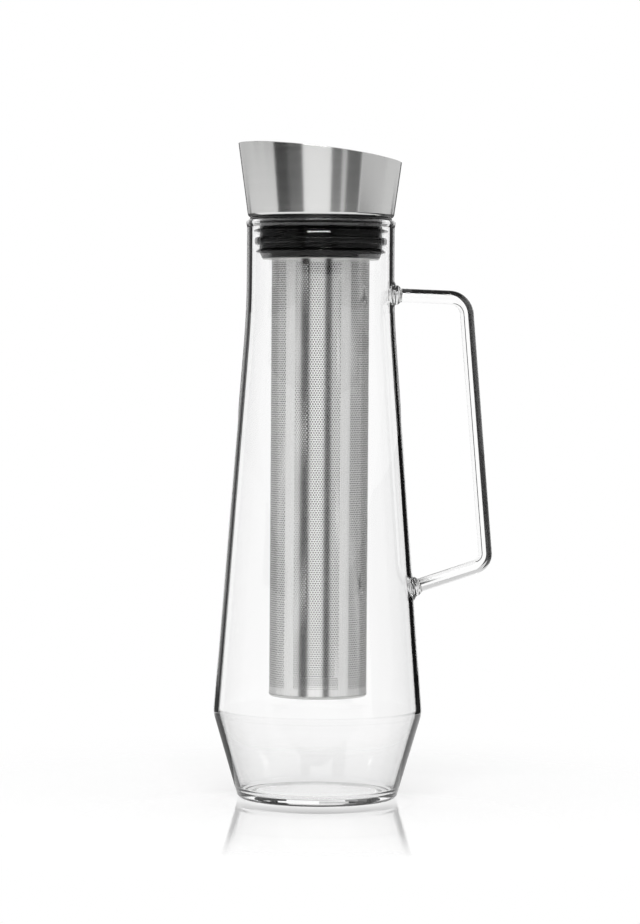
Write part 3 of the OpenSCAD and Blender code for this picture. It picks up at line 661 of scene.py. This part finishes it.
# Moulded polypropylene: nearly black, with an even fine spark-eroded grain and a dull sheen.
MOULD_GRAIN_MM = 0.4
MOULD_CLOUD_MM = 9.0
moulded, tree, out = new_material("black_moulded_polypropylene")
place = add(tree, "ShaderNodeTexCoord", {})
grain = add(tree, "ShaderNodeTexNoise", {"Scale": 1000 / MOULD_GRAIN_MM, "Detail": 3.0},
            [("Vector", place.outputs["Object"])])
cloud = add(tree, "ShaderNodeTexNoise", {"Scale": 1000 / MOULD_CLOUD_MM, "Detail": 2.0},
            [("Vector", place.outputs["Object"])])
skin = add(tree, "ShaderNodeValToRGB", {}, [("Fac", cloud.outputs["Fac"])])
skin.color_ramp.elements[0].color = linear("#141416")
skin.color_ramp.elements[1].color = linear("#1E1E20")
rub = add(tree, "ShaderNodeMapRange", {"To Min": 0.42, "To Max": 0.55}, [("Value", cloud.outputs["Fac"])])
bump = add(tree, "ShaderNodeBump", {"Strength": 0.3, "Distance": 0.03 * MM},
           [("Height", grain.outputs["Fac"])])
body = add(tree, "ShaderNodeBsdfPrincipled", {"IOR": 1.49},
           [("Base Color", skin.outputs["Color"]), ("Roughness", rub.outputs["Result"]),
            ("Normal", bump.outputs["Normal"])])
tree.links.new(out.inputs["Surface"], body.outputs["BSDF"])
fit(core, moulded, 35, "lid", "black_plastic", "stopper_core")


# The floor of the collar: a pressed stainless dish with the pour hole, its edge turned up against the
# collar's side and spot-welded there. It carries the hinge of the flap.
DISH_SIDES = 160
POUR_HOLE_R = 19.0
FLOOR_Z = 277.8
SEAT_Z = FLOOR_Z + SHEET_T
LIP_Z = FLOOR_Z + 3.0
WELD_GAP = 0.1
edge_r = collar_radius(FLOOR_Z, SHEET_T) - WELD_GAP
lip_r = collar_radius(LIP_Z, SHEET_T) - WELD_GAP
pour_floor = turn("funnel_floor", [
    (POUR_HOLE_R, FLOOR_Z, 0.2), (edge_r, FLOOR_Z, 1.0), (lip_r, LIP_Z, 0.3), (lip_r - SHEET_T, LIP_Z, 0.3),
    (edge_r - SHEET_T, SEAT_Z, 0.6), (POUR_HOLE_R, SEAT_Z, 0.3)], DISH_SIDES, closed=True)
fit(pour_floor, satin, 35, "lid", "satin_steel", "funnel_floor")


# The hinge: a bent stainless bracket with two ears, held to the floor by two small screws, and a pin
# through the ears. The bracket's bends and cut edges are broken by a small bevel.
PIN_X = 26.5
PIN_Z = 281.7
PIN_R = 1.0
PIN_HALF = 7.2
BRACKET_BEVEL = 0.12


def broken_edges(name, node, width):
    """A copy of a CAD node's sheet-metal solid with its sharp edges broken by a bevel, in mm."""
    bpy.ops.object.select_all(action="DESELECT")
    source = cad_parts[node]
    bpy.context.view_layer.objects.active = source
    source.select_set(True)
    bpy.ops.object.duplicate()
    piece = bpy.context.active_object
    piece.name = piece.data.name = name
    piece.parent = None
    bpy.ops.object.mode_set(mode="EDIT")
    bpy.ops.mesh.select_all(action="SELECT")
    bpy.ops.mesh.remove_doubles(threshold=0.0005 * MM)
    bpy.ops.mesh.dissolve_limited(angle_limit=math.radians(0.5))
    bpy.ops.mesh.normals_make_consistent(inside=False)
    bpy.ops.object.mode_set(mode="OBJECT")
    bpy.ops.object.modifier_add(type="BEVEL")
    edge = piece.modifiers[-1]
    edge.width = width * MM
    edge.segments = 2
    edge.limit_method = "ANGLE"
    edge.angle_limit = math.radians(40)
    bpy.ops.object.modifier_apply(modifier=edge.name)
    return piece


bracket = broken_edges("hinge_bracket_piece", "hinge_bracket", BRACKET_BEVEL)
fit(bracket, satin, 35, "lid", "satin_steel", "hinge_bracket")


def stand(piece, x, y, z, tip=0.0):
    """Move a turned piece from the axis to its own place, in mm, tipped about X."""
    bpy.ops.object.select_all(action="DESELECT")
    bpy.context.view_layer.objects.active = piece
    piece.select_set(True)
    piece.rotation_euler.x = tip
    piece.location = (x * MM, y * MM, z * MM)
    bpy.ops.object.transform_apply(location=True, rotation=True, scale=True)


pin = turn("hinge_pin_piece", [
    (0, -PIN_HALF, 0), (PIN_R, -PIN_HALF, 0.25), (PIN_R, PIN_HALF, 0.25), (0, PIN_HALF, 0)], 32)
stand(pin, PIN_X, 0, PIN_Z, math.pi / 2)

# Turned stainless bar, polished bright: nearly a mirror, with faint tool marks round it.
TOOL_MARK_MM = 1.2
bright, tree, out = new_material("bright_turned_stainless_steel")
place = add(tree, "ShaderNodeTexCoord", {})
marks = add(tree, "ShaderNodeTexNoise", {"Scale": 1000 / TOOL_MARK_MM, "Detail": 4.0},
            [("Vector", place.outputs["Object"])])
tone = add(tree, "ShaderNodeValToRGB", {}, [("Fac", marks.outputs["Fac"])])
tone.color_ramp.elements[0].color = linear("#BDBDBC")
tone.color_ramp.elements[1].color = linear("#D6D6D5")
rub = add(tree, "ShaderNodeMapRange", {"To Min": 0.12, "To Max": 0.24}, [("Value", marks.outputs["Fac"])])
bump = add(tree, "ShaderNodeBump", {"Strength": 0.08, "Distance": 0.02 * MM},
           [("Height", marks.outputs["Fac"])])
body = add(tree, "ShaderNodeBsdfPrincipled", {"Metallic": 1.0},
           [("Base Color", tone.outputs["Color"]), ("Roughness", rub.outputs["Result"]),
            ("Normal", bump.outputs["Normal"])])
tree.links.new(out.inputs["Surface"], body.outputs["BSDF"])
fit(pin, bright, 35, "lid", "bright_steel", "hinge_pin")

SCREW_R = 0.9
SCREW_Y = 8.15
SCREW_Z = 276.7
HEAD_R = 1.2
HEAD_Z = SEAT_Z + SHEET_T
HEAD_TOP_Z = HEAD_Z + 0.7
SOCKET_R = 0.45
SOCKET_Z = HEAD_Z + 0.3
for side, place_name in ((-1, "front"), (1, "back")):
    screw = turn(f"bracket_screw_{place_name}", [
        (0, SCREW_Z, 0), (SCREW_R, SCREW_Z, 0.2), (SCREW_R, HEAD_Z, 0), (HEAD_R, HEAD_Z, 0.1),
        (HEAD_R, HEAD_TOP_Z, 0.3), (SOCKET_R, HEAD_TOP_Z, 0), (SOCKET_R, SOCKET_Z, 0), (0, SOCKET_Z, 0)], 24)
    stand(screw, PIN_X, side * SCREW_Y, 0)
    fit(screw, bright, 35, "lid", "bright_steel", "bracket_screws")


# The flap: a stainless disc with a rolled barrel that swings on the pin, and a soft silicone ring under
# it that lies on the floor round the pour hole.
FLAP_BEVEL = 0.2
SEAL_BORE_R = 17.0
SEAL_R = 22.5
SEAL_TOP_Z = SEAT_Z + 1.4
flap = broken_edges("flap_plate_piece", "flap_plate", FLAP_BEVEL)
fit(flap, satin, 35, "flap", "satin_steel", "flap_plate")
flap_ring = turn("flap_seal_ring", [
    (SEAL_BORE_R, SEAT_Z, 0.35), (SEAL_R, SEAT_Z, 0.35), (SEAL_R, SEAL_TOP_Z, 0.2),
    (SEAL_BORE_R, SEAL_TOP_Z, 0.2)], 128, closed=True)
fit(flap_ring, silicone, 35, "flap", "black_silicone", "flap_seal")


# The flap's counterweight: a turned steel slug on a stem that is riveted to the flap, with a nut under
# it. It hangs in the stopper's bore and swings the flap open as the carafe tips.
WEIGHT_X = 10.5
WEIGHT_R = 7.0
WEIGHT_Z = 256.0
WEIGHT_TOP_Z = 270.0
WEIGHT_BORE_R = 2.02
STEM_R = 2.0
STEM_Z = 253.5
STEM_TOP_Z = 280.0
NUT_R = 3.5
NUT_CHAMFER = 0.3
stem = turn("flap_stem_piece", [
    (0, STEM_Z, 0), (STEM_R, STEM_Z, 0.3), (STEM_R, STEM_TOP_Z, 0), (0, STEM_TOP_Z, 0)], 40)
stand(stem, WEIGHT_X, 0, 0)
fit(stem, bright, 35, "flap", "bright_steel", "flap_stem")
slug = turn("flap_weight_piece", [
    (WEIGHT_BORE_R, WEIGHT_Z, 0), (WEIGHT_R, WEIGHT_Z, 0.8), (WEIGHT_R, WEIGHT_TOP_Z, 0.8),
    (WEIGHT_BORE_R, WEIGHT_TOP_Z, 0)], 64, closed=True)
stand(slug, WEIGHT_X, 0, 0)
fit(slug, bright, 35, "flap", "bright_steel", "flap_weight")
nut = turn("stem_nut_piece", [
    (WEIGHT_BORE_R, STEM_Z, 0), (NUT_R - NUT_CHAMFER, STEM_Z, 0), (NUT_R, STEM_Z + NUT_CHAMFER, 0),
    (NUT_R, WEIGHT_Z - NUT_CHAMFER, 0), (NUT_R - NUT_CHAMFER, WEIGHT_Z, 0), (WEIGHT_BORE_R, WEIGHT_Z, 0)],
    6, closed=True)
stand(nut, WEIGHT_X, 0, 0)
fit(nut, bright, 20, "flap", "bright_steel", "stem_nut")


# The camera: a long lens that stands higher than the carafe's middle and looks slightly down, rolled by the
# same small angle as in the photograph. The frame's height is what it shows at the carafe, in metres.
VIEW_DISTANCE = 1.6
VIEW_HEIGHT = 0.212
AIM = Vector((0.00034, 0, 0.1598))
ROLL = math.radians(0.41)
FRAME_HEIGHT = 0.4394
SENSOR_MM = 36

camera = bpy.data.objects.new("camera", bpy.data.cameras.new("camera"))
bpy.context.scene.collection.objects.link(camera)
bpy.context.scene.camera = camera
camera.data.sensor_width = SENSOR_MM
camera.location = (AIM.x, -VIEW_DISTANCE, VIEW_HEIGHT)
aim_way = AIM - camera.location
camera.data.lens = SENSOR_MM * aim_way.length / FRAME_HEIGHT
aimed = aim_way.to_track_quat("-Z", "Y").to_matrix()
camera.rotation_euler = (aimed @ Matrix.Rotation(ROLL, 3, "Z")).to_euler()
camera.data.clip_end = 50


# The table: a disc of white acrylic, polished in front of the carafe, where it mirrors the foot softly.
# Both the mirroring and the table fade out into the white surround. It keeps the carafe's shadow only in
# part:
# under the foot, and away from the polished patch in front, it glows white where it is seen, a painted light
# that thins the shadow there.
TABLE_R = 300.0
TABLE_Z = -0.2
POLISH_MIDDLE = (0, -0.085, 0)
POLISH_FROM, POLISH_TO = 0.05, 0.11
GLOW_FOOT_FROM, GLOW_FOOT_TO = 0.038, 0.06
FADE_FROM, FADE_TO = 0.10, 0.28
SHADOW_GLOW = 0.65


def looked_at(tree):
    """One for what the camera sees, straight on, mirrored or through glass, and none for what lights
    the object."""
    path = add(tree, "ShaderNodeLightPath", {})
    seen = add(tree, "ShaderNodeMath", {"operation": "MAXIMUM"},
               [(0, path.outputs["Is Camera Ray"]), (1, path.outputs["Is Glossy Ray"])])
    seen = add(tree, "ShaderNodeMath", {"operation": "MAXIMUM"},
               [(0, seen.outputs["Value"]), (1, path.outputs["Is Transmission Ray"])])
    return seen.outputs["Value"]


table = turn("studio_table", [(0, TABLE_Z, 0), (TABLE_R, TABLE_Z, 0)], 96)
acrylic, tree, out = new_material("white_acrylic_table")
place = add(tree, "ShaderNodeTexCoord", {})
away = add(tree, "ShaderNodeVectorMath", {"operation": "LENGTH"}, [(0, place.outputs["Object"])])
front = add(tree, "ShaderNodeVectorMath", {"operation": "DISTANCE", 1: POLISH_MIDDLE},
            [(0, place.outputs["Object"])])
polish = add(tree, "ShaderNodeMapRange",
             {"From Min": POLISH_FROM, "From Max": POLISH_TO, "To Min": 1.0, "To Max": 0.0},
             [("Value", front.outputs["Value"])])
fade = add(tree, "ShaderNodeMapRange",
           {"interpolation_type": "SMOOTHSTEP", "From Min": FADE_FROM, "From Max": FADE_TO},
           [("Value", away.outputs["Value"])])
body = add(tree, "ShaderNodeBsdfPrincipled",
           {"Base Color": linear("#FFFFFF"), "Roughness": 0.04, "IOR": 1.49},
           [("Specular IOR Level", polish.outputs["Result"])])
# Painted light: the table glows white, up to about two thirds, under the foot and away from the front patch,
# which thins the carafe's shadow.
glow_under_foot = add(tree, "ShaderNodeMapRange",
            {"From Min": GLOW_FOOT_FROM, "From Max": GLOW_FOOT_TO, "To Min": SHADOW_GLOW, "To Max": 0.0},
            [("Value", away.outputs["Value"])])
glow_off_front = add(tree, "ShaderNodeMapRange",
             {"From Min": POLISH_FROM, "From Max": POLISH_TO, "To Min": 0.0, "To Max": SHADOW_GLOW},
             [("Value", front.outputs["Value"])])
painted_glow = add(tree, "ShaderNodeMath", {"operation": "MAXIMUM"},
           [(0, glow_under_foot.outputs["Result"]), (1, glow_off_front.outputs["Result"])])
shown = add(tree, "ShaderNodeMath", {"operation": "MULTIPLY"},
            [(0, painted_glow.outputs["Value"]), (1, looked_at(tree))])
white = add(tree, "ShaderNodeEmission", {"Color": (1, 1, 1, 1), "Strength": 1.0})
pale = add(tree, "ShaderNodeMixShader", {},
           [(0, shown.outputs["Value"]), (1, body.outputs["BSDF"]), (2, white.outputs["Emission"])])
gone = add(tree, "ShaderNodeBsdfTransparent", {})
both = add(tree, "ShaderNodeMixShader", {},
           [(0, fade.outputs["Result"]), (1, pale.outputs["Shader"]), (2, gone.outputs["BSDF"])])
tree.links.new(out.inputs["Surface"], both.outputs["Shader"])
table.data.materials.append(acrylic)


# The cards: pale and dark sheets that stand round the carafe out of the camera's sight, and draw the dark
# edges of the glass and the stripes of the steel. Each is seen only by light of one kind: mirrored off the
# outside, going up off it, through the handle's rod, turned back inside the wall, or off the filter.
CARD_SIDES = 360
# The last three kinds are told apart by a sum: two for light that has passed more than two faces of glass,
# and one for light that has been mirrored.
PATH_SUMS = {"rod": 0, "wall": 1, "filter": 3}
# Mirrored light that climbs more steeply than this comes off the table, and sees no card.
STEEPEST_CLIMB = 0.08


def card(name, level, rings, start, end, kind):
    """A glowing or dark card round the object, between two rings (radius, height) in mm and two angles
    in degrees from the camera's side, positive to +X, that only one kind of light sees."""
    piece = turn("studio_card_" + name, [(*ring, 0) for ring in rings], CARD_SIDES)
    bpy.ops.object.mode_set(mode="EDIT")
    bpy.ops.mesh.select_mode(type="FACE")
    bpy.ops.mesh.select_all(action="DESELECT")
    mesh = bmesh.from_edit_mesh(piece.data)
    for face in mesh.faces:
        middle = face.calc_center_median()
        face.select = not start < math.degrees(math.atan2(middle.x, -middle.y)) < end
    bmesh.update_edit_mesh(piece.data)
    bpy.ops.mesh.delete(type="FACE")
    bpy.ops.object.mode_set(mode="OBJECT")
    paint, tree, out = new_material("card_" + name)
    glow = add(tree, "ShaderNodeEmission", {"Color": (level, level, level, 1), "Strength": 1.0})
    surface = glow.outputs["Emission"]
    if kind == "mirror":
        look = add(tree, "ShaderNodeNewGeometry", {})
        climb = add(tree, "ShaderNodeSeparateXYZ", {}, [("Vector", look.outputs["Incoming"])])
        shown = add(tree, "ShaderNodeMath", {"operation": "GREATER_THAN", 1: -STEEPEST_CLIMB},
                    [(0, climb.outputs["Z"])])
    elif kind in PATH_SUMS:
        path = add(tree, "ShaderNodeLightPath", {})
        through = add(tree, "ShaderNodeMath", {"operation": "GREATER_THAN", 1: 2.5},
                      [(0, path.outputs["Transmission Depth"])])
        bounced = add(tree, "ShaderNodeMath", {"operation": "GREATER_THAN", 1: 0.5},
                      [(0, path.outputs["Glossy Depth"])])
        total = add(tree, "ShaderNodeMath", {"operation": "MULTIPLY_ADD", 1: 2.0},
                    [(0, through.outputs["Value"]), (2, bounced.outputs["Value"])])
        shown = add(tree, "ShaderNodeMath", {"operation": "COMPARE", 1: PATH_SUMS[kind], 2: 0.5},
                    [(0, total.outputs["Value"])])
    if kind != "above":
        clear = add(tree, "ShaderNodeBsdfTransparent", {})
        both = add(tree, "ShaderNodeMixShader", {},
                   [(0, shown.outputs["Value"]), (1, clear.outputs["BSDF"]), (2, surface)])
        surface = both.outputs["Shader"]
    tree.links.new(out.inputs["Surface"], surface)
    piece.data.materials.append(paint)
    piece.visible_camera = piece.visible_diffuse = False
    piece.visible_shadow = piece.visible_volume_scatter = False
    piece.visible_glossy = kind in ("mirror", "above")
    piece.visible_transmission = not piece.visible_glossy


# What the steel collar, the outside of the glass and the handle mirror.
FRONT_WALL = ((500, 130), (500, 262))
SIDE_WALL = ((500, 185), (500, 262))
HIGH_WALL = ((500, 262), (500, 420))
LOW_WALL = ((500, -20), (500, 185))
BACK_WALL = ((500, -20), (500, 262))
RIM_WALL = ((500, 180), (500, 340))
CONE_FLOOR = ((45, 0.6), (300, 0.6))
NECK_WALL = ((60, 232), (60, 273))
for name, level, rings, start, end in (
        ("steel_left", 0.76, SIDE_WALL, -138, -70),
        ("steel_left_high", 0.6, HIGH_WALL, -159, -105),
        ("steel_left_line", 0.01, RIM_WALL, -178, -159),
        ("steel_left_dark", 0.01, FRONT_WALL, -69, -48),
        ("steel_left_dim", 0.08, FRONT_WALL, -48, -26),
        ("steel_right_near", 0.14, FRONT_WALL, 14, 29),
        ("steel_right_slit", 0.6, FRONT_WALL, 29, 36),
        ("steel_right_dark", 0.1, FRONT_WALL, 36, 58),
        ("steel_right", 0.72, SIDE_WALL, 60, 138),
        ("steel_right_high", 0.68, HIGH_WALL, 105, 157),
        ("steel_right_line", 0.01, RIM_WALL, 157, 178),
        ("cone_left", 0.3, CONE_FLOOR, -170, -115),
        ("cone_right", 0.6, CONE_FLOOR, 115, 170),
        ("glass_left", 0.1, BACK_WALL, -159, -138),
        ("glass_right", 0.01, BACK_WALL, 138, 157),
        ("neck_left", 0.1, NECK_WALL, -140, -97),
        ("neck_right", 0.12, NECK_WALL, 97, 140),
        ("rod_right", 0.02, LOW_WALL, 60, 138)):
    card(name, level, rings, start, end, "mirror")
card("rod_above", 0.2, ((1, 1500), (1500, 1500)), -180, 180, "above")

# The same stripes again, higher up, for the lid when it is lifted out.
LIFTED_WALL = ((505, 340), (505, 760))
for name, level, start, end in (
        ("left", 0.76, -138, -70),
        ("left_dark", 0.03, -69, -48),
        ("left_dim", 0.08, -48, -26),
        ("right_near", 0.14, 14, 29),
        ("right_dark", 0.1, 36, 58),
        ("right", 0.72, 60, 138)):
    card("lifted_" + name, level, LIFTED_WALL, start, end, "mirror")

# What the filter and the stopper mirror, through the wall.
FILTER_WALL = ((520, -100), (520, 278))
for name, level, start, end in (
        ("left_edge", 0.5, -160, -112),
        ("left_dim", 0.72, -112, -85),
        ("left", 0.86, -85, -44),
        ("left_dark", 0.01, -44, -24),
        ("right_dark", 0.01, 11, 26),
        ("right", 0.78, 28, 72),
        ("right_dim", 0.54, 72, 112),
        ("right_edge", 0.34, 112, 160)):
    card("filter_" + name, level, FILTER_WALL, start, end, "filter")
card("stopper_front", 0.01, ((520, 278), (520, 520)), -135, 135, "filter")

# Black in front of the neck, with a bright strip that draws the highlight on it, and a pale card that
# keeps the black off the wall below.
for kind in ("mirror", "wall"):
    card("neck_front_" + kind, 0.01, ((510, 272), (510, 336)), -120, 120, kind)
    card("neck_low_" + kind, 0.01, ((510, 258), (510, 272)), -85, 60, kind)
    card("neck_strip_" + kind, 12.0, ((505, 284.5), (505, 285.3)), -20, 13, kind)
    card("neck_shade_" + kind, 1.0, ((100, 85), (100, 250)), -30, 25, kind)

# The dark edges of the bottle's wall.
FAR_WALL = ((2500, -1500), (2500, 2500))
for name, level, rings, start, end in (
        ("left_pale", 0.3, FAR_WALL, -167, -160),
        ("left_dim", 0.13, FAR_WALL, -160, -154),
        ("left_dark", 0.01, FAR_WALL, -154, -142),
        ("right_dark", 0.005, FAR_WALL, 143, 166),
        ("below", 0.02, ((45, 0.5), (700, 0.5)), -180, 180)):
    card("wall_" + name, level, rings, start, end, "wall")

# The dark edges of the handle's rod. The front pair serves the views from behind. The floor rings make a
# dark strip behind the carafe, from its axis to a little past the handle, that widens with distance.
ROD_WALL_R, ROD_WALL_Z, ROD_WALL_TOP_Z = 2600, -1500, 2500
ROD_WALL = ((ROD_WALL_R, ROD_WALL_Z), (ROD_WALL_R, ROD_WALL_TOP_Z))
ROD_FLOOR_Z = 0.8
DARK_RINGS = 19
DARK_RING_R = 90
DARK_GROWTH = 1.15
DARK_SIDE, DARK_WIDENING = 80, 0.02
for name, top, start, end in (("near", 300, -179, -165), ("side", 1200, -165, -80)):
    card("rod_left_" + name, 0.006, ((ROD_WALL_R, ROD_WALL_Z), (ROD_WALL_R, top)), start, end, "rod")
    card("rod_left_high_" + name, 0.6, ((ROD_WALL_R, top), (ROD_WALL_R, ROD_WALL_TOP_Z)), start, end, "rod")
card("rod_right_line", 0.01, ROD_WALL, 156, 161, "rod")
card("rod_front_left", 0.02, ROD_WALL, -60, 12, "rod")
card("rod_front_right", 0.02, ROD_WALL, 72, 92, "rod")
card("rod_below_left", 0.01, ((45, ROD_FLOOR_Z), (1300, ROD_FLOOR_Z)), -180, -125, "rod")
card("rod_below_edge", 0.01, ((45, ROD_FLOOR_Z), (120, ROD_FLOOR_Z)), 95, 125, "rod")
for i in range(DARK_RINGS):
    inner = DARK_RING_R * DARK_GROWTH ** i
    side = DARK_SIDE + DARK_WIDENING * inner
    start = 180 - math.degrees(math.asin(side / (inner * math.sqrt(DARK_GROWTH))))
    rings = ((inner, ROD_FLOOR_Z), (inner * DARK_GROWTH, ROD_FLOOR_Z))
    card(f"rod_below_{i + 1}", 0.01, rings, start, 180, "rod")


# The light: one softbox above the front, and a white surround that fills in from every side. The surround
# is brighter where it is seen, straight on, mirrored or through glass, than as light on the carafe.
SOFTBOX_W = 7
SOFTBOX_SIZE = (0.7, 0.25)
SOFTBOX_PLACE = (-0.06, -0.9, 1.0)
SOFTBOX_AIM = (0, 0, 0.2)
FILL = 0.75

softbox = bpy.data.objects.new("softbox", bpy.data.lights.new("softbox", "AREA"))
bpy.context.scene.collection.objects.link(softbox)
softbox.data.shape = "RECTANGLE"
softbox.data.size, softbox.data.size_y = SOFTBOX_SIZE
softbox.data.energy = SOFTBOX_W
softbox.location = SOFTBOX_PLACE
softbox.rotation_euler = (Vector(SOFTBOX_AIM) - softbox.location).to_track_quat("-Z", "Y").to_euler()
softbox.visible_camera = False

world = bpy.data.worlds.new("white_surround")
bpy.context.scene.world = world
world.use_nodes = True
tree = world.node_tree
tree.nodes.clear()
level = add(tree, "ShaderNodeMapRange", {"To Min": FILL, "To Max": 1.0}, [("Value", looked_at(tree))])
sky = add(tree, "ShaderNodeBackground", {"Color": (1, 1, 1, 1)}, [("Strength", level.outputs["Result"])])
add(tree, "ShaderNodeOutputWorld", {}, [("Surface", sky.outputs["Background"])])

bpy.context.scene.view_settings.view_transform = "Standard"
